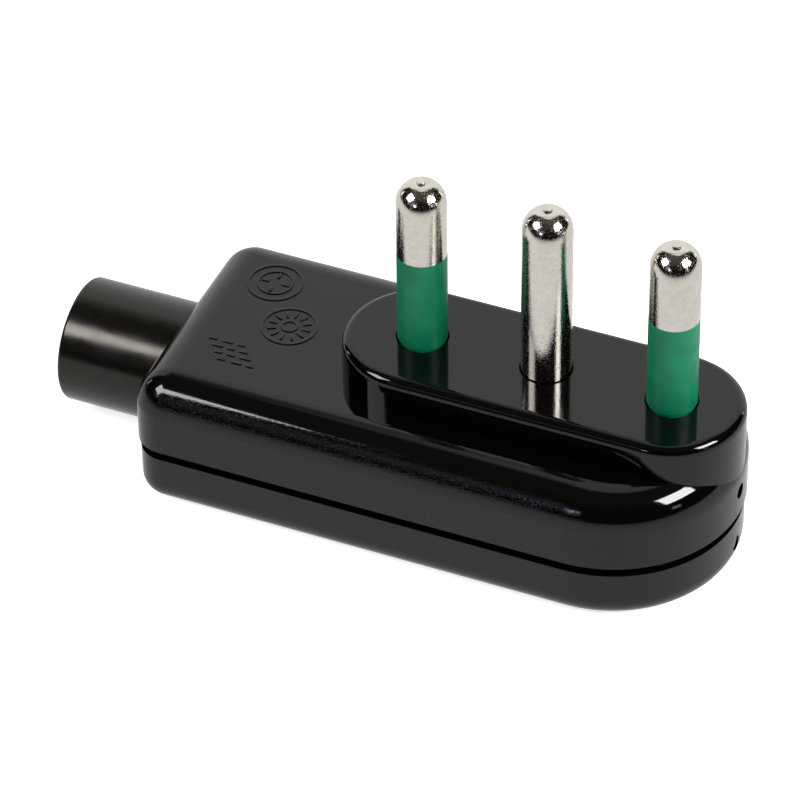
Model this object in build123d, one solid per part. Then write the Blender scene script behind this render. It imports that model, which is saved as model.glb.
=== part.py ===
from build123d import *
import os

# A low-profile plug with three round pins in line, lying on its back cover with the pins up.
# Millimetres. The origin is on the back face, under the earth pin. X runs along the body to
# the rounded nose, Y across it, Z up along the pins.

# Pins and their green sleeves
pin_pitch = 13.0
pin_dia = 5.0
root_dia = 4.6
pin_reach = 19.0
earth_pin_lead = 0.5
pip_dia = 0.9
pip_height = 0.12
sleeve_length = 10.5
sleeve_wall = 0.7
sleeve_base = 1.0
tail_dia = 3.6

# Outside of the housing
body_half_width = 13.35
body_left = 39.2
nose_margin = 7.35
corner_radius = 3.2
shoulder_height = 15.2
shoulder_radius = 3.8
face_height = 19.0
face_edge_radius = 1.0
raised_half_width = 7.6
raised_margin = 8.0
nose_step = 0.05
front_edge_height = 7.0
groove_height = 1.1
cover_inset = 0.2
cover_edge_radius = 2.5
gate_dia = 1.6
gate_depth = 0.35
gate_drop = 1.6

# Walls and the joint between the two mouldings
wall = 2.0
face_pocket = 1.8
lip_wall = 0.9
lip_height = 2.6
rib_wall = 1.2
barrier_half_length = 8.0
cheek_half_length = 3.0
cheek_height = 4.0

# Cable bush
bush_dia = 12.8
bush_height = 7.1
bush_bore = 8.5
bush_reach = 11.3
bush_groove_dia = 10.2
bush_flange_dia = 11.8
bush_flange_wall = 1.6
bush_rib_wall = 1.4
bush_end_radius = 0.4
bush_mouth = 0.6

# Terminals
block_width = 6.2
block_height = 5.0
block_edge = 0.4
block_drop = 0.4
terminal_screw_offset = 4.6
terminal_screw_dia = 3.5
terminal_head_dia = 5.4
terminal_head_height = 2.2
washer_dia = 5.4
washer_height = 1.2
washer_groove = 2.8

# Cord clamp
clamp_x = -29.0
clamp_width = 6.0
clamp_inner_radius = 3.4
clamp_wall = 1.2
clamp_end_gap = 0.7
clamp_ear_height = 1.8
clamp_screw_dia = 3.0
clamp_head_dia = 5.4
clamp_head_height = 1.8
clamp_screw_length = 6.5
clamp_post_dia = 5.6
clamp_insert_dia = 4.2
clamp_insert_length = 4.0

# Screws that hold the back cover
cover_screw_margin = 8.6
cover_screw_dia = 3.0
cover_head_dia = 5.4
cover_head_height = 1.9
cover_head_sink = 0.5
cover_screw_length = 9.0
post_dia = 5.6
post_base_dia = 7.6
post_base_height = 3.4
insert_dia = 4.4
insert_length = 5.0

# Screw drives
slot_width = 0.9
slot_depth = 0.9

# Clearances
free_gap = 0.15
thread_gap = 0.05
lip_gap = 0.1

# Heights and places worked out from the values above
cover_edge_height = front_edge_height - groove_height
shell_ceiling = shoulder_height - wall
face_ceiling = shell_ceiling + face_pocket
nose_tip = pin_pitch + nose_margin
nose_centre = nose_tip - body_half_width
raised_left = pin_pitch + raised_margin
raised_centre = nose_tip - nose_step - raised_half_width
bush_wall_x = -body_left + wall
bush_groove_x = bush_wall_x + free_gap
block_top = shell_ceiling - block_drop
block_bottom = block_top - block_height
post_bottom = cover_edge_height
root_top = face_height + free_gap
sleeve_low = face_ceiling + sleeve_base
sleeve_bore = pin_dia - 2 * sleeve_wall
lip_top = cover_edge_height + lip_height
cover_screw_x = (-pin_pitch - cover_screw_margin, pin_pitch / 2)
cover_screw_top = cover_head_sink + cover_head_height + cover_screw_length
clamp_half_length = body_half_width - wall - clamp_end_gap
clamp_outer_radius = clamp_inner_radius + clamp_wall
clamp_screw_offset = (clamp_outer_radius + clamp_half_length) / 2
clamp_screw_top = bush_height - clamp_ear_height + clamp_screw_length
barrier_places = (-pin_pitch / 2, pin_pitch / 2)
pin_places = {"live": -pin_pitch, "earth": 0.0, "neutral": pin_pitch}
terminal_sides = {"live": -1, "earth": 1, "neutral": -1}


def body_outline(inset, left_radius):
    """The housing's outline from above: square left end, half-round nose."""
    half = body_half_width - inset
    left = -body_left + inset
    block = Pos((left + nose_centre) / 2, 0) * Rectangle(nose_centre - left, 2 * half)
    if left_radius > 0:
        block = fillet(block.vertices().group_by(Axis.X)[0], left_radius)
    return block + Pos(nose_centre, 0) * Circle(half)


def raised_outline(inset):
    """The outline of the raised part that carries the pins, round at both ends."""
    half = raised_half_width - inset
    left_centre = -raised_left + raised_half_width
    length = raised_centre - left_centre
    bar = Pos((raised_centre + left_centre) / 2, 0) * Rectangle(length, 2 * half)
    return bar + Pos(left_centre, 0) * Circle(half) + Pos(raised_centre, 0) * Circle(half)


def prism(outline, low, high):
    """An outline raised from one height to another."""
    return Pos(0, 0, low) * extrude(outline, high - low)


def body_block(inset, low, high):
    """The housing's outline, with its two left corners rounded, raised between two heights."""
    return prism(body_outline(inset, corner_radius - inset), low, high)


def shouldered_block(inset, low, high):
    """The same block with its top edge rounded first, so that the left corners run into that round."""
    block = prism(body_outline(inset, 0), low, high)
    block = fillet(block.faces().sort_by(Axis.Z)[-1].edges(), shoulder_radius - inset)
    corners = block.edges().filter_by(GeomType.ELLIPSE) + block.edges().filter_by(Axis.Z).group_by(Axis.X)[0]
    return fillet(corners, corner_radius - inset)


def rod(dia, low, high, x=0.0, y=0.0):
    """A round bar that stands along Z."""
    return Pos(x, y, low) * Cylinder(dia / 2, high - low, align=(Align.CENTER, Align.CENTER, Align.MIN))


def slab(x_low, x_high, y_low, y_high, low, high):
    """A block given by its six faces."""
    size = Box(x_high - x_low, y_high - y_low, high - low)
    return Pos((x_low + x_high) / 2, (y_low + y_high) / 2, (low + high) / 2) * size


def slotted_screw(head_dia, head_height, shank_dia, shank_length):
    """A cheese-head screw whose shank points up from the head's seat at the origin."""
    head = rod(head_dia, -head_height, 0)
    head = fillet(head.edges().group_by(Axis.Z)[0], head_height * 0.3)
    shank = rod(shank_dia, -head_height / 2, shank_length)
    shank = chamfer(shank.edges().group_by(Axis.Z)[-1], shank_dia * 0.12)
    slot = slab(-head_dia, head_dia, -slot_width / 2, slot_width / 2, -2 * head_height, slot_depth - head_height)
    return head + shank - slot


def along_x(dia, x_low, x_high):
    """A round bar on the axis of the cable bush."""
    bar = Cylinder(dia / 2, x_high - x_low, align=(Align.CENTER, Align.CENTER, Align.MIN))
    return Pos(x_low, 0, bush_height) * Rot(0, 90, 0) * bar


def bush_seat(gap):
    """The room that the cable bush takes in the two mouldings."""
    flange_x = bush_groove_x + bush_rib_wall + free_gap
    seat = along_x(bush_dia + 2 * gap, -body_left - wall, bush_groove_x)
    seat += along_x(bush_groove_dia + 2 * gap, -body_left, clamp_x - clamp_width / 2)
    return seat + along_x(bush_flange_dia + 2 * gap, flange_x - gap, flange_x + bush_flange_wall + gap)


def barrier(x, low, high):
    """A wall between two poles that leaves room for the wires at both sides."""
    return slab(x - rib_wall / 2, x + rib_wall / 2, -barrier_half_length, barrier_half_length, low, high)


def gate_mark(height):
    """The small dimple that the moulding gate leaves on the nose."""
    dimple = Cylinder(gate_dia / 2, 2 * gate_depth)
    return Pos(nose_tip, 0, height) * Rot(0, 90, 0) * dimple


def front_shell():
    """The front moulding: a rounded box open at the back, with the raised face for the pins."""
    body = shouldered_block(0, front_edge_height, shoulder_height)
    raised = prism(raised_outline(0), front_edge_height, face_height)
    raised = fillet(raised.faces().sort_by(Axis.Z)[-1].edges(), face_edge_radius)
    cavity = shouldered_block(wall, 0, shell_ceiling)
    rabbet = body_block(wall - lip_wall - lip_gap, 0, lip_top)
    shell = body + raised - cavity - rabbet - prism(raised_outline(wall), 0, face_ceiling)

    # Inner ribs: one that holds the bush, barriers between the poles, cheeks beside the blocks
    room = body_block(wall, front_edge_height, shell_ceiling)
    bush_rib = slab(bush_groove_x, bush_groove_x + bush_rib_wall, -body_half_width, body_half_width,
                    lip_top, shell_ceiling)
    inner = bush_rib & room
    tall_room = prism(raised_outline(wall), front_edge_height, face_ceiling) + room
    for x in barrier_places:
        inner += barrier(x, lip_top, face_ceiling) & tall_room
    for x in pin_places.values():
        for near in (x - block_width / 2 - free_gap - rib_wall, x + block_width / 2 + free_gap):
            cheek = slab(near, near + rib_wall, -cheek_half_length, cheek_half_length,
                         block_top - cheek_height, face_ceiling)
            inner += cheek & tall_room

    # Posts for the cover screws and the cord clamp
    for x in cover_screw_x:
        inner += rod(post_dia, post_bottom, shell_ceiling, x)
        inner += rod(post_dia, post_bottom, face_ceiling, x) & tall_room
    for y in (-clamp_screw_offset, clamp_screw_offset):
        inner += rod(clamp_post_dia, bush_height, shell_ceiling, clamp_x, y)
    shell += inner

    for x in cover_screw_x:
        shell -= rod(insert_dia, post_bottom, post_bottom + insert_length, x)
        shell -= rod(cover_screw_dia + 2 * free_gap, post_bottom, cover_screw_top + free_gap, x)
    for y in (-clamp_screw_offset, clamp_screw_offset):
        shell -= rod(clamp_insert_dia, bush_height, bush_height + clamp_insert_length, clamp_x, y)
        shell -= rod(clamp_screw_dia + 2 * free_gap, bush_height, clamp_screw_top + free_gap, clamp_x, y)
    for x in pin_places.values():
        shell -= rod(pin_dia + 2 * free_gap, face_ceiling - wall, face_height + wall, x)
    return shell - bush_seat(thread_gap) - gate_mark(shoulder_height - shoulder_radius - gate_drop)


def back_cover():
    """The back moulding: a shallow tray whose lip fits inside the front shell."""
    tray = body_block(cover_inset, 0, cover_edge_height)
    tray = fillet(tray.faces().sort_by(Axis.Z)[0].edges(), cover_edge_radius)
    tray += body_block(wall - lip_wall, cover_edge_height - wall, lip_top)
    cover = tray - body_block(wall, wall, face_height)

    # Ribs and posts on the floor
    room = body_block(wall, wall / 2, cover_edge_height)
    bush_rib = slab(bush_groove_x, bush_groove_x + bush_rib_wall, -body_half_width, body_half_width,
                    wall / 2, cover_edge_height)
    cover += bush_rib & room
    for x in barrier_places:
        cover += barrier(x, wall / 2, lip_top - free_gap)
    for x in pin_places.values():
        cover += rod(tail_dia, wall / 2, block_bottom, x)
    for x in cover_screw_x:
        cover -= rod(post_dia, post_bottom, face_height, x)
        cover += rod(post_base_dia, wall / 2, post_base_height, x) + rod(post_dia, wall / 2, post_bottom, x)

    for x in cover_screw_x:
        cover -= rod(cover_head_dia + 2 * free_gap, -wall, cover_head_sink + cover_head_height, x)
        cover -= rod(cover_screw_dia + 2 * free_gap, -wall, post_bottom + wall, x)
    return cover - bush_seat(thread_gap) - gate_mark(cover_edge_height / 2)


def cable_bush():
    """The round bush that the cable enters by, turned about its own axis."""
    outer_x = -body_left - bush_reach
    flange_x = bush_groove_x + bush_rib_wall + free_gap
    end_x = flange_x + bush_flange_wall
    sleeve = along_x(bush_dia, outer_x, bush_groove_x - free_gap)
    sleeve = fillet(sleeve.edges().group_by(Axis.X)[0], bush_end_radius)
    bush = sleeve + along_x(bush_groove_dia, -body_left, end_x) + along_x(bush_flange_dia, flange_x, end_x)
    bush -= along_x(bush_bore, outer_x - wall, end_x + wall)
    mouth = bush.edges().filter_by(GeomType.CIRCLE).group_by(Axis.X)[0].sort_by(lambda edge: edge.radius)[0]
    return chamfer(mouth, bush_mouth)


def pin(kind):
    """A turned pin: domed tip, shank, collar behind the face, and a tail riveted into its block."""
    radius = pin_dia / 2
    tip = face_height + pin_reach + (earth_pin_lead if kind == "earth" else 0.0)
    shank = rod(pin_dia, root_top, tip - radius) + Pos(0, 0, tip - radius) * Sphere(radius)
    shank += rod(pip_dia, tip - radius, tip + pip_height) + rod(root_dia, face_ceiling - free_gap, root_top)
    if kind != "earth":
        neck = rod(pin_dia + wall, sleeve_low, face_height + sleeve_length)
        neck -= rod(sleeve_bore, 0, tip)
        shank -= neck
    collar = rod(block_width, block_top, face_ceiling)
    tail = rod(tail_dia, block_bottom, face_ceiling)
    return Pos(pin_places[kind], 0) * (shank + collar + tail)


def pin_sleeve(kind):
    """The insulating sleeve of a live or neutral pin, flush with its shank."""
    sleeve = rod(pin_dia, root_top, face_height + sleeve_length) + rod(root_dia, sleeve_low, root_top)
    sleeve -= rod(sleeve_bore, 0, 2 * face_height)
    return Pos(pin_places[kind], 0) * sleeve


def terminal_block(kind):
    """The brass block that the pin's tail is riveted into and the wire is clamped against."""
    half = block_width / 2
    outline = Pos(0, terminal_screw_offset / 2) * Rectangle(block_width, terminal_screw_offset)
    outline += Circle(half) + Pos(0, terminal_screw_offset) * Circle(half)
    block = prism(outline, block_bottom, block_top)
    block = chamfer(block.faces().sort_by(Axis.Z)[0].edges(), block_edge)
    block -= rod(tail_dia, 0, face_height)
    block -= rod(terminal_screw_dia + 2 * thread_gap, 0, face_height, 0, terminal_screw_offset)
    turn = 0 if terminal_sides[kind] > 0 else 180
    return Pos(pin_places[kind], 0) * Rot(0, 0, turn) * block


def wire_clamp(kind):
    """The round washer under the terminal screw, with a groove that keeps the wire in."""
    plate = rod(washer_dia, block_bottom - washer_height, block_bottom)
    plate = chamfer(plate.edges().group_by(Axis.Z)[0], block_edge)
    groove = slab(-washer_dia, washer_dia, -washer_groove / 2, washer_groove / 2,
                  block_bottom - block_edge, block_bottom)
    plate -= groove + rod(terminal_screw_dia + 2 * free_gap, 0, face_height)
    return Pos(pin_places[kind], terminal_sides[kind] * terminal_screw_offset) * plate


def terminal_screws():
    """The three terminal screws, driven from the back."""
    seat = block_bottom - washer_height
    screw = slotted_screw(terminal_head_dia, terminal_head_height, terminal_screw_dia, block_top - seat)
    return [Pos(x, terminal_sides[kind] * terminal_screw_offset, seat) * screw for kind, x in pin_places.items()]


def cord_clamp_bar():
    """The bridge that presses the cable against the front shell, bent down round the cable."""
    ears = Pos(0, -clamp_ear_height / 2) * Rectangle(2 * clamp_half_length, clamp_ear_height)
    section = ears + Circle(clamp_outer_radius) - Circle(clamp_inner_radius)
    section -= Pos(0, body_half_width) * Rectangle(2 * body_half_width, 2 * body_half_width)
    bar = Plane.YZ.offset(clamp_x - clamp_width / 2) * extrude(section, clamp_width)
    bar = Pos(0, 0, bush_height) * bar
    for y in (-clamp_screw_offset, clamp_screw_offset):
        bar -= rod(clamp_screw_dia + 2 * free_gap, 0, face_height, clamp_x, y)
    return bar


def cord_clamp_screws():
    """The two screws of the cord clamp."""
    screw = slotted_screw(clamp_head_dia, clamp_head_height, clamp_screw_dia, clamp_screw_length)
    seat = bush_height - clamp_ear_height
    return [Pos(clamp_x, y, seat) * screw for y in (-clamp_screw_offset, clamp_screw_offset)]


def cover_screws():
    """The two screws that hold the back cover, sunk in its back."""
    screw = slotted_screw(cover_head_dia, cover_head_height, cover_screw_dia, cover_screw_length)
    seat = cover_head_sink + cover_head_height
    return [Pos(x, 0, seat) * screw for x in cover_screw_x]


def insert(dia, length, screw_dia):
    """A threaded brass insert that stands on the origin."""
    tube = rod(dia, 0, length) - rod(screw_dia + 2 * thread_gap, -length, 2 * length)
    return chamfer(tube.edges().group_by(Axis.Z)[0].sort_by(lambda edge: edge.radius)[0], thread_gap * 4)


def cord_clamp_inserts():
    """The brass inserts that the cord clamp's screws go into."""
    tube = insert(clamp_insert_dia, clamp_insert_length, clamp_screw_dia)
    return [Pos(clamp_x, y, bush_height) * tube for y in (-clamp_screw_offset, clamp_screw_offset)]


def cover_inserts():
    """The brass inserts in the front shell's posts that the cover screws go into."""
    tube = insert(insert_dia, insert_length, cover_screw_dia)
    return [Pos(x, 0, post_bottom) * tube for x in cover_screw_x]


def write(name, solids):
    """One file for one node, with one solid or a group of separate ones."""
    group = solids if isinstance(solids, list) else [solids]
    shape = Compound(children=group) if len(group) > 1 else group[0]
    export_step(shape, f"parts/{name}.step")


os.makedirs("parts", exist_ok=True)
write("front_shell", front_shell())
write("back_cover", back_cover())
write("cable_bush", cable_bush())
for kind in pin_places:
    write(f"{kind}_pin", pin(kind))
    write(f"{kind}_terminal_block", terminal_block(kind))
    write(f"{kind}_wire_clamp", wire_clamp(kind))
    if kind != "earth":
        write(f"{kind}_pin_sleeve", pin_sleeve(kind))
write("terminal_screws", terminal_screws())
write("cord_clamp_bar", cord_clamp_bar())
write("cord_clamp_screws", cord_clamp_screws())
write("cord_clamp_inserts", cord_clamp_inserts())
write("cover_screws", cover_screws())
write("cover_inserts", cover_inserts())
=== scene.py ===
# %% [markdown]
# A low-profile mains plug lies on a white table with its three round pins up. The housing is two
# glossy black mouldings, the bush that the cable enters by is satin black, the pins are bright
# nickel plate and two of them wear green sleeves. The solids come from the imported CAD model, so
# this lesson gives them their finishes, adds the small marks that moulding leaves, lights them as
# a small studio does, and looks at them through a long lens.

# %% Load the frame
import math

import bmesh
import bpy
from mathutils import Matrix, Vector


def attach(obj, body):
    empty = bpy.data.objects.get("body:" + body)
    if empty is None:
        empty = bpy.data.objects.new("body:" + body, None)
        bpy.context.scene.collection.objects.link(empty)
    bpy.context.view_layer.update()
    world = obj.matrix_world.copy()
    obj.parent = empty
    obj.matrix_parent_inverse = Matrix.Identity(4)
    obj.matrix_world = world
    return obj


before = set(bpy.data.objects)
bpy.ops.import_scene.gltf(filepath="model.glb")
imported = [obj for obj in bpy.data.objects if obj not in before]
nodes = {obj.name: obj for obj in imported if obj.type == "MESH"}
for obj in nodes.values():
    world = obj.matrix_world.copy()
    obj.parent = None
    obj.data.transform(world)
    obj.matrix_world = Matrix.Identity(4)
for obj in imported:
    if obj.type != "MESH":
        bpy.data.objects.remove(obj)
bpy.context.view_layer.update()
scene = bpy.context.scene
print("CAD nodes:", len(nodes))


# %% [markdown]
# The camera. A long lens stands back from the plug, so its edges run almost parallel in the
# picture. The camera could be placed by coordinates, but angles are easier to think in: how far
# round the plug it stands, how high it looks down from, how much it leans, how far off it is and
# how long its lens is. The two offsets slide it sideways and up without turning it, which keeps
# the plug at its place in the picture.

# %% Camera
CAMERA_ROUND = math.radians(23.456)
CAMERA_ABOVE = math.radians(40.256)
CAMERA_LEAN = math.radians(-0.843)
CAMERA_AWAY = 0.486703
CAMERA_RIGHT = -0.014411
CAMERA_UP = 0.011329
SENSOR_MM = 36.0
FOCAL_PIXELS = 4886.476
PICTURE_PIXELS = 800
LENS_MM = FOCAL_PIXELS / PICTURE_PIXELS * SENSOR_MM
CLIP_NEAR = 0.01
CLIP_FAR = 20.0


def add_camera():
    """Makes the camera from the angles and distances above."""
    right = Vector((math.cos(CAMERA_ROUND), math.sin(CAMERA_ROUND), 0.0))
    back = Vector((math.sin(CAMERA_ROUND) * math.cos(CAMERA_ABOVE),
                   -math.cos(CAMERA_ROUND) * math.cos(CAMERA_ABOVE), math.sin(CAMERA_ABOVE)))
    up = back.cross(right)
    lean_right = math.cos(CAMERA_LEAN) * right + math.sin(CAMERA_LEAN) * up
    lean_up = math.cos(CAMERA_LEAN) * up - math.sin(CAMERA_LEAN) * right
    place = CAMERA_AWAY * back + CAMERA_RIGHT * lean_right + CAMERA_UP * lean_up
    data = bpy.data.cameras.new("camera")
    data.sensor_fit = "HORIZONTAL"
    data.sensor_width = SENSOR_MM
    data.lens = LENS_MM
    data.clip_start = CLIP_NEAR
    data.clip_end = CLIP_FAR
    camera = bpy.data.objects.new("camera", data)
    scene.collection.objects.link(camera)
    turn = Matrix((lean_right, lean_up, back)).transposed().to_4x4()
    camera.matrix_world = Matrix.Translation(place) @ turn
    return camera


scene.camera = add_camera()
scene.view_settings.view_transform = "Standard"
print("camera at", tuple(round(v, 3) for v in scene.camera.matrix_world.translation))
print("lens", round(LENS_MM), "mm")


# %% [markdown]
# Nodes. Every finish here is one Principled shader whose constants are set on its own sockets.
# Nodes could be placed and linked one line at a time, but these helpers keep a finish short: they
# add a node, feed a socket, and do a step of arithmetic. A setting is written like the socket it
# goes to, with _ for each space. They serve the world at the end of the lesson as well.

# %% Node helpers
def add_node(owner, kind, **settings):
    """Adds a shader node; settings named like its sockets go there, others go to the node."""
    node = owner.node_tree.nodes.new(kind)
    for key, value in settings.items():
        socket = key.replace("_", " ")
        if socket in node.inputs:
            node.inputs[socket].default_value = value
        else:
            setattr(node, key, value)
    return node


def feed(owner, socket, value):
    """Links another node's output to a socket, or sets the socket to a plain value."""
    if isinstance(value, bpy.types.NodeSocket):
        owner.node_tree.links.new(value, socket)
    else:
        socket.default_value = value


def calc(owner, operation, *values):
    """One step of arithmetic on numbers."""
    node = add_node(owner, "ShaderNodeMath", operation=operation)
    for socket, value in zip(node.inputs, values):
        feed(owner, socket, value)
    return node.outputs["Value"]


def calc_vector(owner, operation, *values):
    """One step of arithmetic on vectors; a length or a dot product comes out as a number."""
    node = add_node(owner, "ShaderNodeVectorMath", operation=operation)
    for socket, value in zip(node.inputs, values):
        feed(owner, socket, value)
    return node.outputs["Value" if operation in ("LENGTH", "DOT_PRODUCT") else "Vector"]


def ramp(owner, value, first, last, to_first=0.0, to_last=1.0, **settings):
    """Takes a value's range from first to last to another range, and stays level beyond it."""
    node = add_node(owner, "ShaderNodeMapRange", From_Min=first, From_Max=last,
                    To_Min=to_first, To_Max=to_last, **settings)
    feed(owner, node.inputs["Value"], value)
    return node.outputs["Result"]


def object_axes(owner):
    """Object coordinates as three numbers, in metres."""
    parts = add_node(owner, "ShaderNodeSeparateXYZ")
    feed(owner, parts.inputs["Vector"], add_node(owner, "ShaderNodeTexCoord").outputs["Object"])
    return parts.outputs


shell_mm = [round(1000 * side, 1) for side in nodes["front_shell"].dimensions]
print("the front shell is", shell_mm, "mm")


# %% [markdown]
# A material starts as a Principled shader with its colour and roughness. It then goes on all the
# CAD nodes that are made of the same stuff, because one plastic has one look.

# %% Material helpers
def shader_of(material):
    """The material's Principled shader."""
    return material.node_tree.nodes["Principled BSDF"]


def new_material(name, color, roughness, **sockets):
    """A Principled material with its constant sockets set."""
    material = bpy.data.materials.new(name)
    material.use_nodes = True
    shader = shader_of(material)
    shader.inputs["Base Color"].default_value = (*color, 1.0)
    shader.inputs["Roughness"].default_value = roughness
    for socket, value in sockets.items():
        shader.inputs[socket.replace("_", " ")].default_value = value
    return material


def dress(names, material):
    """Puts one material on CAD nodes."""
    for name in names:
        mesh = nodes[name].data
        mesh.materials.clear()
        mesh.materials.append(material)
    print(material.name, "on", ", ".join(names))


print("materials to begin with:", len(bpy.data.materials))


# %% [markdown]
# Patterns. Real mouldings and plated metal are never quite even, so each finish gets procedural
# patterns on Object coordinates: a bump for the relief of the surface, and a slower pattern that
# lets roughness or colour drift a little from place to place. Object coordinates are metres here,
# so a noise of 1000 per metre has lumps about a millimetre wide.

# %% Noise and bump
def noise(material, per_metre, detail=2.0, stretch=(1.0, 1.0, 1.0)):
    """Noise on Object coordinates; stretch draws it out along an axis where it is small."""
    place = add_node(material, "ShaderNodeTexCoord")
    mapping = add_node(material, "ShaderNodeMapping", Scale=stretch)
    pattern = add_node(material, "ShaderNodeTexNoise", Scale=per_metre, Detail=detail)
    feed(material, mapping.inputs["Vector"], place.outputs["Object"])
    feed(material, pattern.inputs["Vector"], mapping.outputs["Vector"])
    return pattern.outputs["Fac"]


def bump(material, pattern, height, below=None):
    """Adds relief of a height in metres, on top of an earlier normal if there is one."""
    relief = add_node(material, "ShaderNodeBump", Distance=height, Strength=1.0)
    feed(material, relief.inputs["Height"], pattern)
    if below:
        feed(material, relief.inputs["Normal"], below)
    feed(material, shader_of(material).inputs["Normal"], relief.outputs["Normal"])
    return relief.outputs["Normal"]


for per_metre in (350, 1000, 8000):
    print(per_metre, "per metre makes lumps of about", round(1000 / per_metre, 2), "mm")


# %% [markdown]
# Drift. Most of a noise's values lie between 0.3 and 0.7, so that part of it is spread over the
# two roughnesses or the two colours that a surface wanders between.

# %% Drift and tint
NOISE_SPREAD = (0.3, 0.7)


def drift(material, pattern, socket, low, high):
    """Lets a pattern move one socket between two values."""
    spread = ramp(material, pattern, *NOISE_SPREAD, low, high)
    feed(material, shader_of(material).inputs[socket], spread)


def tint(material, pattern, dark, pale):
    """Lets a pattern mix two colours into the base colour."""
    mix = add_node(material, "ShaderNodeValToRGB")
    for stop, place, color in zip(mix.color_ramp.elements, NOISE_SPREAD, (dark, pale)):
        stop.position = place
        stop.color = (*color, 1.0)
    feed(material, mix.inputs["Fac"], pattern)
    feed(material, shader_of(material).inputs["Base Color"], mix.outputs["Color"])


print("noise is spread from", *NOISE_SPREAD)


# %% [markdown]
# The housing is black thermoplastic from a polished mould. It has no colour of its own to speak
# of, so its look is all in the reflection: a smooth surface with the faint waviness that plastic
# keeps when it shrinks, in lumps of about 3 mm, and a much finer grain from the mould's polish.

# %% Housing finish
GLOSS_BLACK = (0.0011, 0.0011, 0.0012)
GLOSS_IOR = 1.45
WAVES_PER_METRE = 350.0
WAVE_HEIGHT = 0.0000012
GRAIN_PER_METRE = 5000.0
DULLNESS_PER_METRE = 260.0


def gloss_plastic(name, roughness_low, roughness_high, grain_height):
    """Polished black moulding: waviness, fine grain, and roughness that drifts."""
    plastic = new_material(name, GLOSS_BLACK, roughness_low, IOR=GLOSS_IOR)
    waves = bump(plastic, noise(plastic, WAVES_PER_METRE, detail=1.0), WAVE_HEIGHT)
    bump(plastic, noise(plastic, GRAIN_PER_METRE, detail=1.0), grain_height, below=waves)
    drift(plastic, noise(plastic, DULLNESS_PER_METRE), "Roughness", roughness_low, roughness_high)
    return plastic


gloss_black = gloss_plastic("gloss_black_housing", 0.045, 0.085, grain_height=0.0000006)
dress(["front_shell"], gloss_black)
cover_black = gloss_plastic("gloss_black_cover", 0.06, 0.11, grain_height=0.0000007)
dress(["back_cover"], cover_black)


# %% [markdown]
# Specks. A worn or plated surface also has small dull spots. They could be painted, but the peaks
# of a fine noise make them at any size: everything under a start value is left out, and what is
# above it raises the roughness there.

# %% Specks
SPECK_RISE = 0.1


def specks(material, per_metre, start, stretch=(1.0, 1.0, 1.0)):
    """Specks: 1 in the peaks of a noise and 0 elsewhere, sparser for a higher start."""
    peaks = noise(material, per_metre, detail=1.0, stretch=stretch)
    return ramp(material, peaks, start, start + SPECK_RISE)


def roughen(material, amount, most):
    """Adds to the roughness where an amount is high."""
    roughness = shader_of(material).inputs["Roughness"]
    earlier = roughness.links[0].from_socket
    feed(material, roughness, calc(material, "MULTIPLY_ADD", amount, most, earlier))


print("a speck fades in over", SPECK_RISE, "of the noise")


# %% [markdown]
# The rubbed shoulder. Handling rubs the rounded edge of the shell, so fine rubbing marks fade in
# from the shoulder down, and out again towards the nose. They turn the sharp reflection into a
# faint sparkle. A drawn-out noise stands for the marks, and specks make the deepest of them dull.
# Both are multiplied by two ramps, one by height and one along the body, so no mask is needed.

# %% Rubbed shoulder
RUB_BY_HEIGHT = (0.0143, 0.0133)
RUB_BY_LENGTH = (0.013, 0.004)
RUB_PER_METRE = 8000.0
RUB_STRETCH = (0.5, 1.0, 1.0)
RUB_DEPTH = 0.00002
SCUFF_START = 0.54
SCUFF_STRETCH = (0.6, 1.0, 1.0)
SCUFF_ROUGHNESS = 0.32


def rub_shoulder(plastic):
    """Adds the rubbing marks on top of the bumps and the roughness of a plastic."""
    axes = object_axes(plastic)
    rubbed = calc(plastic, "MULTIPLY", ramp(plastic, axes["Z"], *RUB_BY_HEIGHT),
                  ramp(plastic, axes["X"], *RUB_BY_LENGTH))
    marks = noise(plastic, RUB_PER_METRE, detail=1.0, stretch=RUB_STRETCH)
    earlier = shader_of(plastic).inputs["Normal"].links[0].from_socket
    bump(plastic, calc(plastic, "MULTIPLY", rubbed, marks), RUB_DEPTH, below=earlier)
    dull = specks(plastic, RUB_PER_METRE, SCUFF_START, stretch=SCUFF_STRETCH)
    roughen(plastic, calc(plastic, "MULTIPLY", rubbed, dull), SCUFF_ROUGHNESS)


rub_shoulder(gloss_black)
print("housing finish:", len(gloss_black.node_tree.nodes), "nodes")


# %% [markdown]
# The moulded marks are plain rings and ribs a tenth of a millimetre high that stand on the wide
# top beside the raised pin face. Such low relief could be a bump in the material, but a real edge
# catches the light and is there from every side, so it is modelled. Each mark sinks a little into
# the shell, as one that is moulded with it would. A small bevel rounds its top edges.

# %% Mark helpers
SHELL_TOP = 0.0152
MARK_SUNK = 0.00005
MARK_PROUD = 0.0001
MARK_DEPTH = MARK_PROUD + MARK_SUNK
MARK_MIDDLE = SHELL_TOP + (MARK_PROUD - MARK_SUNK) / 2
MARK_BEVEL = 0.00005
SHARP_FROM = math.radians(40)
HAIR = 0.000001


def start_piece(name):
    """Names the primitive that was just added and opens it for editing."""
    piece = bpy.context.object
    piece.name = name
    bpy.ops.object.mode_set(mode="EDIT")
    return piece, bmesh.from_edit_mesh(piece.data)


def keep_place():
    """Moves the object's place, turn and size into its mesh."""
    bpy.ops.object.transform_apply(location=True, rotation=True, scale=True)


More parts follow.
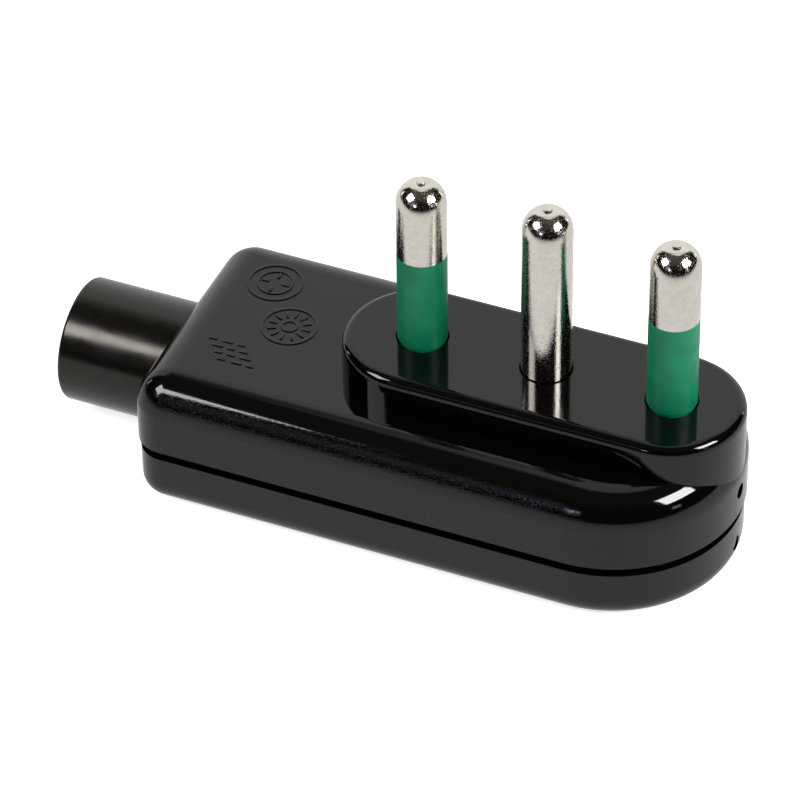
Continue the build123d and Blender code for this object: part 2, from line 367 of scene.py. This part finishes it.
def round_top(piece, mesh):
    """Bevels the edges that lie wholly in the top of a mark."""
    bpy.ops.mesh.select_all(action="DESELECT")
    bpy.ops.mesh.select_mode(type="EDGE")
    top = SHELL_TOP + MARK_PROUD - HAIR
    for edge in mesh.edges:
        sharp = edge.calc_face_angle(0.0) > SHARP_FROM
        edge.select_set(sharp and all(v.co.z > top for v in edge.verts))
    bmesh.update_edit_mesh(piece.data)
    bpy.ops.mesh.bevel(offset=MARK_BEVEL, segments=2)


def close_piece(piece):
    """Leaves edit mode with normals outward and the place kept in the mesh."""
    bpy.ops.mesh.select_all(action="SELECT")
    bpy.ops.mesh.normals_make_consistent(inside=False)
    bpy.ops.object.mode_set(mode="OBJECT")
    keep_place()
    return piece


print("marks stand", round(MARK_PROUD * 1000, 2), "mm proud")


# %% [markdown]
# A ring starts as a thin disc. Both flat faces are inset by the ring's width and deleted, and a
# bridge between the two rims makes the wall of the hole. A torus would be quicker, but it has a
# round section, and a moulded ring has a flat top.

# %% A ring
RING_SIDES = 72
FLAT_FACE = 0.9


def mark_ring(name, center, radius, width):
    """A thin raised ring on the shell's wide top."""
    bpy.ops.object.select_all(action="DESELECT")
    bpy.ops.mesh.primitive_cylinder_add(vertices=RING_SIDES, radius=radius, depth=MARK_DEPTH,
                                        location=(0, 0, 0))
    bpy.ops.transform.translate(value=(*center, MARK_MIDDLE))
    keep_place()
    piece, mesh = start_piece(name)
    bpy.ops.mesh.select_mode(type="FACE")
    bpy.ops.mesh.select_all(action="DESELECT")
    for face in mesh.faces:
        face.select_set(abs(face.normal.z) > FLAT_FACE)
    bmesh.update_edit_mesh(piece.data)
    bpy.ops.mesh.inset(thickness=width, use_individual=True)
    bpy.ops.mesh.delete(type="ONLY_FACE")
    bpy.ops.mesh.select_mode(type="EDGE")
    mesh = bmesh.from_edit_mesh(piece.data)
    for edge in mesh.edges:
        edge.select_set(edge.is_boundary)
    bmesh.update_edit_mesh(piece.data)
    bpy.ops.mesh.bridge_edge_loops()
    round_top(piece, bmesh.from_edit_mesh(piece.data))
    return close_piece(piece)


print("a ring has", RING_SIDES, "sides")


# %% [markdown]
# A rib is a slim bar: a cube that is resized, turned about its middle and bevelled. Ribs that
# point at a centre make the spokes of a round mark.

# %% A rib
def mark_rib(name, center, length, width, turned):
    """A short raised rib, turned by an angle about its middle."""
    bpy.ops.object.select_all(action="DESELECT")
    bpy.ops.mesh.primitive_cube_add(size=1.0, location=(0, 0, 0))
    bpy.ops.transform.resize(value=(length, width, MARK_DEPTH))
    keep_place()
    bpy.context.object.rotation_euler.z = turned
    bpy.context.object.location = (*center, MARK_MIDDLE)
    keep_place()
    piece, mesh = start_piece(name)
    round_top(piece, mesh)
    return close_piece(piece)


def ring_of_ribs(center, radius, count, length, width):
    """Ribs that point at a centre, evenly round it."""
    ribs = []
    for index in range(count):
        angle = 2 * math.pi * index / count
        place = (center[0] + radius * math.cos(angle), center[1] + radius * math.sin(angle))
        ribs.append(mark_rib("rib", place, length, width, angle))
    return ribs


print("a rib is", round(MARK_DEPTH * 1000, 2), "mm deep, with the part that is sunk")


# %% [markdown]
# The rings and ribs of one mark are joined into one object, which rides on the shell. Their
# plastic is the shell's, a little duller, because a mould is not polished in such small recesses.

# %% Joining a mark
SMOOTH_UNDER = math.radians(35)
mark_black = gloss_plastic("gloss_black_marks", 0.06, 0.12, grain_height=0.0000008)


def join_mark(name, parts):
    """Joins the pieces of one mark into a single object that rides on the shell."""
    bpy.ops.object.select_all(action="DESELECT")
    for part in parts:
        part.select_set(True)
    bpy.context.view_layer.objects.active = parts[0]
    bpy.ops.object.join()
    mark = bpy.context.object
    mark.name = name
    mark.data.name = name
    mark.data.materials.clear()
    mark.data.materials.append(mark_black)
    bpy.ops.object.shade_smooth_by_angle(angle=SMOOTH_UNDER)
    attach(mark, "root")
    print(name, len(mark.data.polygons), "faces")
    return mark


# %% [markdown]
# The two round marks. The far one is a ring with an inner ring and four ribs, and the near one is
# a ring with twelve ribs round a small hub.

# %% Round marks
FAR_MARK = (-0.0317, 0.0063)
NEAR_MARK = (-0.0276, 0.0005)
MARK_RADIUS = 0.0029
INNER_RADIUS = 0.0019
HUB_RADIUS = 0.0009
RING_WIDTH = 0.0003
THIN_WIDTH = 0.00026

join_mark("round_mark_far", [mark_ring("ring", FAR_MARK, MARK_RADIUS, RING_WIDTH),
                             mark_ring("ring", FAR_MARK, INNER_RADIUS, THIN_WIDTH)]
          + ring_of_ribs(FAR_MARK, radius=0.0011, count=4, length=0.0008, width=0.00032))
join_mark("round_mark_near", [mark_ring("ring", NEAR_MARK, MARK_RADIUS, RING_WIDTH)]
          + ring_of_ribs(NEAR_MARK, radius=0.0018, count=12, length=0.0009, width=THIN_WIDTH)
          + [mark_ring("ring", NEAR_MARK, HUB_RADIUS, THIN_WIDTH)])


# %% [markdown]
# A patch of short dashes stands beside them: four rows of three ribs. Each row starts at its own
# place, and the three lengths shift by one from row to row, so the patch does not look like a grid.

# %% Short ribs
RIB_WIDTH = 0.0003
RIB_GAP = 0.0005
RIB_LENGTHS = (0.0009, 0.0012, 0.0008)
RIB_ROWS = ((-0.0343, -0.0040), (-0.0336, -0.0049), (-0.0329, -0.0058), (-0.0322, -0.0067))

dashes = []
for row, (left, row_y) in enumerate(RIB_ROWS):
    for step in range(len(RIB_LENGTHS)):
        length = RIB_LENGTHS[(row + step) % len(RIB_LENGTHS)]
        dashes.append(mark_rib("rib", (left + length / 2, row_y), length, RIB_WIDTH, turned=0.0))
        left += length + RIB_GAP
join_mark("short_ribs", dashes)


# %% [markdown]
# The bush that the cable enters by is a separate black moulding with a satin skin, a little warm
# in tone. A rougher surface spreads a lamp into the soft band that runs along it. The mould was
# turned, so the noise is drawn out along the bush's length, and a finer one lies on top of it.

# %% Bush finish
satin_black = new_material("satin_black_bush", (0.0035, 0.0033, 0.0029), 0.17, IOR=1.46,
                           Specular_Tint=(1.0, 0.94, 0.84, 1.0))
bush_waves = bump(satin_black, noise(satin_black, 900.0, stretch=(0.25, 1.0, 1.0)),
                  height=0.000003)
bump(satin_black, noise(satin_black, 4500.0), height=0.000003, below=bush_waves)
drift(satin_black, noise(satin_black, 500.0), "Roughness", 0.14, 0.22)
dress(["cable_bush"], satin_black)


# %% [markdown]
# The face on each pin's tip. The lathe's last cut leaves a flatter face about 2 mm wide on the
# dome. That is less than half a millimetre of shape and mostly changes what the tip mirrors, so
# here it is a bent normal, and the mesh keeps its round dome. The pins stand in a row at one
# pitch, so a coordinate that wraps at that pitch measures how far a point is from its own pin's
# axis. Near the axis the normal is turned towards straight up, and at the face's rim it blends
# into the dome's own normal.

# %% Turned face
PIN_PITCH = 0.013
TIP_FACE = (0.0008, 0.0013)
TIP_STARTS = (0.0358, 0.0355)
TIP_CROWN = 60.0
STRAIGHT_UP = (0, 0, 1)


def scaled(owner, vector, amount):
    """A vector times a number."""
    node = add_node(owner, "ShaderNodeVectorMath", operation="SCALE")
    feed(owner, node.inputs[0], vector)
    feed(owner, node.inputs["Scale"], amount)
    return node.outputs["Vector"]


def turned_face(metal):
    """The normal of a dome with a nearly flat face round each pin's axis."""
    axes = object_axes(metal)
    across = calc(metal, "WRAP", axes["X"], PIN_PITCH / 2, -PIN_PITCH / 2)
    offset = add_node(metal, "ShaderNodeCombineXYZ")
    feed(metal, offset.inputs["X"], across)
    feed(metal, offset.inputs["Y"], axes["Y"])
    from_axis = calc_vector(metal, "LENGTH", offset.outputs["Vector"])
    outside = ramp(metal, from_axis, *TIP_FACE, interpolation_type="SMOOTHSTEP")
    below = ramp(metal, axes["Z"], *TIP_STARTS)
    keep = calc(metal, "MAXIMUM", outside, below)
    crown = scaled(metal, offset.outputs["Vector"], TIP_CROWN)
    face = scaled(metal, calc_vector(metal, "ADD", crown, STRAIGHT_UP),
                  calc(metal, "SUBTRACT", 1.0, keep))
    dome = scaled(metal, add_node(metal, "ShaderNodeNewGeometry").outputs["Normal"], keep)
    return calc_vector(metal, "NORMALIZE", calc_vector(metal, "ADD", face, dome))


print("tip face", round(2000 * TIP_FACE[0], 1), "to", round(2000 * TIP_FACE[1], 1), "mm wide")


# %% [markdown]
# The pins are turned brass with bright nickel plate: a metal shader with a slightly warm colour
# and low roughness. Plate is never a perfect mirror. Its fine pits break the edge of each
# reflection into grains, which is the first bump, and the tool's path leaves faint marks along
# the pin, which is the second. A few rough specks dull it here and there.

# %% Pin finish
nickel = new_material("bright_nickel", (0.69, 0.655, 0.58), 0.07, Metallic=1.0)
nickel_grain = bump(nickel, noise(nickel, 7000.0), height=0.000013, below=turned_face(nickel))
bump(nickel, noise(nickel, 1500.0, stretch=(1.0, 1.0, 0.12)), height=0.000002,
     below=nickel_grain)
drift(nickel, noise(nickel, 2500.0), "Roughness", 0.05, 0.12)
roughen(nickel, specks(nickel, 8000.0, start=0.59), most=0.26)
tint(nickel, noise(nickel, 1200.0), dark=(0.66, 0.62, 0.54), pale=(0.73, 0.70, 0.63))
dress(["live_pin", "earth_pin", "neutral_pin"], nickel)


# %% [markdown]
# The sleeves on the outer pins are green insulation, moulded flush with the metal. The plastic is
# satin, so it takes its tone from the lamps and not from sharp reflections. A slow change between
# a deeper and a paler green, with a fine grain, keeps it from looking like flat paint.

# %% Sleeve finish
green_sleeve = new_material("green_sleeve", (0.001, 0.16, 0.074), 0.42, IOR=1.4)
bump(green_sleeve, noise(green_sleeve, 2600.0, detail=3.0), height=0.000006)
tint(green_sleeve, noise(green_sleeve, 700.0), dark=(0.0008, 0.152, 0.069),
     pale=(0.0016, 0.198, 0.092))
drift(green_sleeve, noise(green_sleeve, 900.0), "Roughness", 0.36, 0.5)
dress(["live_pin_sleeve", "neutral_pin_sleeve"], green_sleeve)


# %% [markdown]
# The inner parts are seen only when the plug is open, and the cover screws from the back, but
# each still gets the finish of the real thing: milled brass for the terminal blocks and the
# inserts, zinc plate for the screws and wire clamps, and matt black plastic for the bar that
# holds the cable. Milling leaves long fine lines, so the brass has a noise drawn out along X.

# %% Inner metal and the clamp
brass = new_material("milled_brass", (0.8, 0.58, 0.25), 0.28, Metallic=1.0)
bump(brass, noise(brass, 2200.0, stretch=(0.1, 1.0, 1.0)), height=0.000004)
tint(brass, noise(brass, 400.0), dark=(0.74, 0.52, 0.21), pale=(0.84, 0.63, 0.30))
dress(["live_terminal_block", "earth_terminal_block", "neutral_terminal_block",
       "cord_clamp_inserts", "cover_inserts"], brass)

zinc = new_material("zinc_plated_steel", (0.62, 0.63, 0.64), 0.22, Metallic=1.0)
bump(zinc, noise(zinc, 3000.0), height=0.000003)
drift(zinc, noise(zinc, 800.0), "Roughness", 0.16, 0.3)
tint(zinc, noise(zinc, 500.0), dark=(0.56, 0.58, 0.60), pale=(0.67, 0.67, 0.66))
dress(["live_wire_clamp", "earth_wire_clamp", "neutral_wire_clamp", "terminal_screws",
       "cord_clamp_screws", "cover_screws"], zinc)

matt_black = new_material("matt_black_clamp", (0.02, 0.02, 0.02), 0.5)
bump(matt_black, noise(matt_black, 1800.0), height=0.00001)
drift(matt_black, noise(matt_black, 600.0), "Roughness", 0.45, 0.6)
dress(["cord_clamp_bar"], matt_black)


# %% [markdown]
# The studio. The plug stands on a small white sheet in front of a white backdrop, between two
# soft boxes, in a room that is otherwise dark. Gloss black plastic shows nothing but its
# surroundings, so these few pale and dark areas draw the whole form: the sheet and the backdrop
# make the flat faces grey, and the dark room above makes the black bands on the rounded edges.
# Directions are given as a turn, clockwise from straight away from the camera, and a height.

# %% Directions around the plug
AWAY = Vector((-math.sin(CAMERA_ROUND), math.cos(CAMERA_ROUND), 0.0))
RIGHT = Vector((math.cos(CAMERA_ROUND), math.sin(CAMERA_ROUND), 0.0))
UP = Vector((0, 0, 1))
PLUG_MIDDLE = Vector((-0.005, 0.0, 0.02))


def toward(turn, height):
    """The direction at a turn and a height, both in degrees."""
    flat = math.cos(math.radians(turn)) * AWAY + math.sin(math.radians(turn)) * RIGHT
    return math.cos(math.radians(height)) * flat + math.sin(math.radians(height)) * UP


print("away from the camera is", tuple(round(v, 3) for v in AWAY))


# %% [markdown]
# The table is a white sheet, a hair below the plug's back so that the two faces do not flicker
# through each other. It is a plain plane, because only its tone is seen.

# %% Table
TABLE_HALF = 3.0
TABLE_DROP = 0.00002
bpy.ops.object.select_all(action="DESELECT")
bpy.ops.mesh.primitive_plane_add(size=2 * TABLE_HALF, location=(0, 0, -TABLE_DROP))
table = bpy.context.object
table.name = "table"
white = new_material("white_table", (0.9, 0.9, 0.9), 0.9, Specular_IOR_Level=0.0)
table.data.materials.append(white)
print("table", 2 * TABLE_HALF, "m wide")


# %% [markdown]
# What the table looks like depends on who looks. The camera sees it as plain white, and a little
# of its real shading is kept in that, so the plug's soft shadow still lies on it. Shiny surfaces
# see a painted white glow in place of its lit shading, and painted shade fades that glow towards
# the camera, down to nothing where the sheet ends in front of a dark room. From below, the sheet
# is clear, so that the back of the plug can be looked at too.

# %% Table's white
# The painted glow that shiny surfaces see on the sheet, and the painted shade that fades it.
PAINTED_FADE_SPAN = (0.33, 0.045)
FADE_POWER = 1.6
PAINTED_SHEET_GLOW = 0.86
CAMERA_WHITE = 0.74


def mixed(owner, share, first, second):
    """Mixes two shaders: only the first at a share of 0, only the second at 1."""
    node = add_node(owner, "ShaderNodeMixShader")
    for socket, value in zip(node.inputs, (share, first, second)):
        feed(owner, socket, value)
    return node.outputs["Shader"]


rays = add_node(white, "ShaderNodeLightPath").outputs
place = add_node(white, "ShaderNodeNewGeometry").outputs
shading = shader_of(white).outputs["BSDF"]
to_camera = add_node(white, "ShaderNodeAddShader")
feed(white, to_camera.inputs[0], shading)
feed(white, to_camera.inputs[1],
     add_node(white, "ShaderNodeEmission", Strength=CAMERA_WHITE).outputs["Emission"])
# Painted shade: the sheet's glow for shiny surfaces fades towards the camera.
nearness = calc_vector(white, "DOT_PRODUCT", place["Position"], -AWAY)
painted_fade = calc(white, "POWER", ramp(white, nearness, *PAINTED_FADE_SPAN), FADE_POWER)
# A painted glow that shiny surfaces see in place of the lit sheet.
painted_glow = add_node(white, "ShaderNodeEmission")
feed(white, painted_glow.inputs["Strength"], calc(white, "MULTIPLY", painted_fade, PAINTED_SHEET_GLOW))
to_rest = mixed(white, rays["Is Glossy Ray"], shading, painted_glow.outputs["Emission"])
from_above = mixed(white, rays["Is Camera Ray"], to_rest, to_camera.outputs["Shader"])
clear = add_node(white, "ShaderNodeBsdfTransparent").outputs["BSDF"]
feed(white, white.node_tree.nodes["Material Output"].inputs["Surface"],
     mixed(white, place["Backfacing"], from_above, clear))
print("table's white:", len(white.node_tree.nodes), "nodes")


# %% [markdown]
# The world is the backdrop and the dark room. A picture of a studio could be wrapped round the
# plug, but arithmetic on the ray's direction needs no file and each edge can be moved by itself.
# First come a clean world and two helpers.

# %% World helpers
world = bpy.data.worlds.new("studio")
scene.world = world
world.use_nodes = True
world.node_tree.nodes.clear()
ray_direction = add_node(world, "ShaderNodeTexCoord").outputs["Generated"]


def share_of(direction):
    """How far the ray points along a direction."""
    return calc_vector(world, "DOT_PRODUCT", ray_direction, direction)


def degrees(value):
    """Radians to degrees."""
    return calc(world, "MULTIPLY", value, 180 / math.pi)


print("world nodes to begin with:", len(world.node_tree.nodes))


# %% [markdown]
# The backdrop fills the turns from one side edge to the other up to its top edge, a pale round
# patch overhead is where it curls forward, and everything else is nearly black, a little paler
# overhead. The brightest of these is what a ray finds.

# %% Backdrop and room
BACKDROP_LEFT = -47.0
BACKDROP_RIGHT = 52.0
BACKDROP_TOP = 59.0
EDGE_SOFT = 3.0
CURL_TURN = 15.0
CURL_HEIGHT = 74.0
CURL_RADIUS = 16.0
CURL_WHITE = 0.85
ROOM_ABOVE = 0.07
ROOM_NEAR = 0.008
CEILING_FADES = (0.5, 0.9)

up_share = share_of(UP)
ray_height = degrees(calc(world, "ARCSINE", up_share))
ray_turn = degrees(calc(world, "ARCTAN2", share_of(RIGHT), share_of(AWAY)))
under_top = ramp(world, ray_height, BACKDROP_TOP + 2 * EDGE_SOFT, BACKDROP_TOP - 2 * EDGE_SOFT)
past_left = ramp(world, ray_turn, BACKDROP_LEFT - EDGE_SOFT, BACKDROP_LEFT + EDGE_SOFT)
past_right = ramp(world, ray_turn, BACKDROP_RIGHT + EDGE_SOFT, BACKDROP_RIGHT - EDGE_SOFT)
backdrop = calc(world, "MULTIPLY", under_top, calc(world, "MULTIPLY", past_left, past_right))
curl_middle = toward(CURL_TURN, CURL_HEIGHT)
from_curl = degrees(calc(world, "ARCCOSINE", share_of(curl_middle)))
curl = calc(world, "MULTIPLY", CURL_WHITE,
            ramp(world, from_curl, CURL_RADIUS + EDGE_SOFT, CURL_RADIUS - EDGE_SOFT))
ceiling = calc(world, "MULTIPLY", ramp(world, up_share, *CEILING_FADES), ROOM_ABOVE)
room = calc(world, "ADD", ceiling, ROOM_NEAR)
lit = calc(world, "MAXIMUM", calc(world, "MAXIMUM", backdrop, curl), room)
print("the backdrop spans", BACKDROP_RIGHT - BACKDROP_LEFT, "degrees")


# %% [markdown]
# The tone of the world. The camera itself sees plain white there, as a picture on a white ground
# needs, and its light on the plug is left alone. The dim parts are a little warm, so that the
# dark reflections in the plating turn brownish and not grey.

# %% World's tone
ROOM_WARMTH = (1.0, 0.9, 0.72, 1.0)
PLAIN_WHITE = (1.0, 1.0, 1.0, 1.0)
WARMTH_FADES = (0.1, 0.6)

camera_sees = add_node(world, "ShaderNodeLightPath").outputs["Is Camera Ray"]
brightness = calc(world, "MAXIMUM", lit, camera_sees)
warmth = add_node(world, "ShaderNodeMix", data_type="RGBA")
warmth.inputs["A"].default_value = ROOM_WARMTH
warmth.inputs["B"].default_value = PLAIN_WHITE
feed(world, warmth.inputs["Factor"], ramp(world, brightness, *WARMTH_FADES))
shade = add_node(world, "ShaderNodeBackground")
feed(world, shade.inputs["Strength"], brightness)
feed(world, shade.inputs["Color"], warmth.outputs["Result"])
feed(world, add_node(world, "ShaderNodeOutputWorld").inputs["Surface"],
     shade.outputs["Background"])
print("world nodes:", len(world.node_tree.nodes))


# %% [markdown]
# The lamps. Two soft boxes stand to the left and right of the camera, and a few far weaker lamps
# stand low around the plug. Each is given by where it stands, how wide and tall it looks from the
# plug in degrees, and how bright its surface is, because that is what a reflection of it shows.

# %% Lamps
PLAIN = (1, 1, 1)
COOL = (0.7, 0.82, 1.0)
WARM = (1.0, 0.96, 0.88)
# Each lamp: name, turn, height, metres away, degrees wide and tall, spin, radiance, colour.
LAMPS = (
    ("left_softbox", -109.5, 38.5, 0.32, 21.0, 20.0, -15.0, 12.0, PLAIN),
    ("right_softbox", 122.5, 37.5, 0.40, 24.0, 19.0, 0.0, 25.0, PLAIN),
    ("low_lamp", -149.0, 18.0, 0.40, 6.0, 6.0, 0.0, 8.0, COOL),
    ("left_glow", -137.0, 23.0, 0.50, 13.0, 18.0, 0.0, 0.3, COOL),
    ("right_low_lamp", 131.0, 13.0, 0.40, 6.0, 6.0, 0.0, 3.0, COOL),
    ("left_strip", -60.0, 12.0, 0.45, 4.0, 14.0, 0.0, 3.0, WARM),
    ("right_strip", 58.0, 8.0, 0.45, 4.0, 14.0, 0.0, 3.0, WARM),
)


def softbox(name, turn, height, away, wide, tall, spin, radiance, color):
    """A rectangular lamp that faces the plug."""
    data = bpy.data.lights.new(name, "AREA")
    data.shape = "RECTANGLE"
    data.size = 2 * away * math.tan(math.radians(wide / 2))
    data.size_y = 2 * away * math.tan(math.radians(tall / 2))
    data.energy = radiance * math.pi * data.size * data.size_y
    data.color = color
    lamp = bpy.data.objects.new(name, data)
    scene.collection.objects.link(lamp)
    direction = toward(turn, height)
    lamp.location = PLUG_MIDDLE + away * direction
    lamp.rotation_mode = "QUATERNION"
    face = direction.to_track_quat("Z", "Y")
    lamp.rotation_quaternion = face @ Matrix.Rotation(math.radians(spin), 4, "Z").to_quaternion()
    print(name, "gives", round(data.energy, 2), "W")


for lamp_values in LAMPS:
    softbox(*lamp_values)
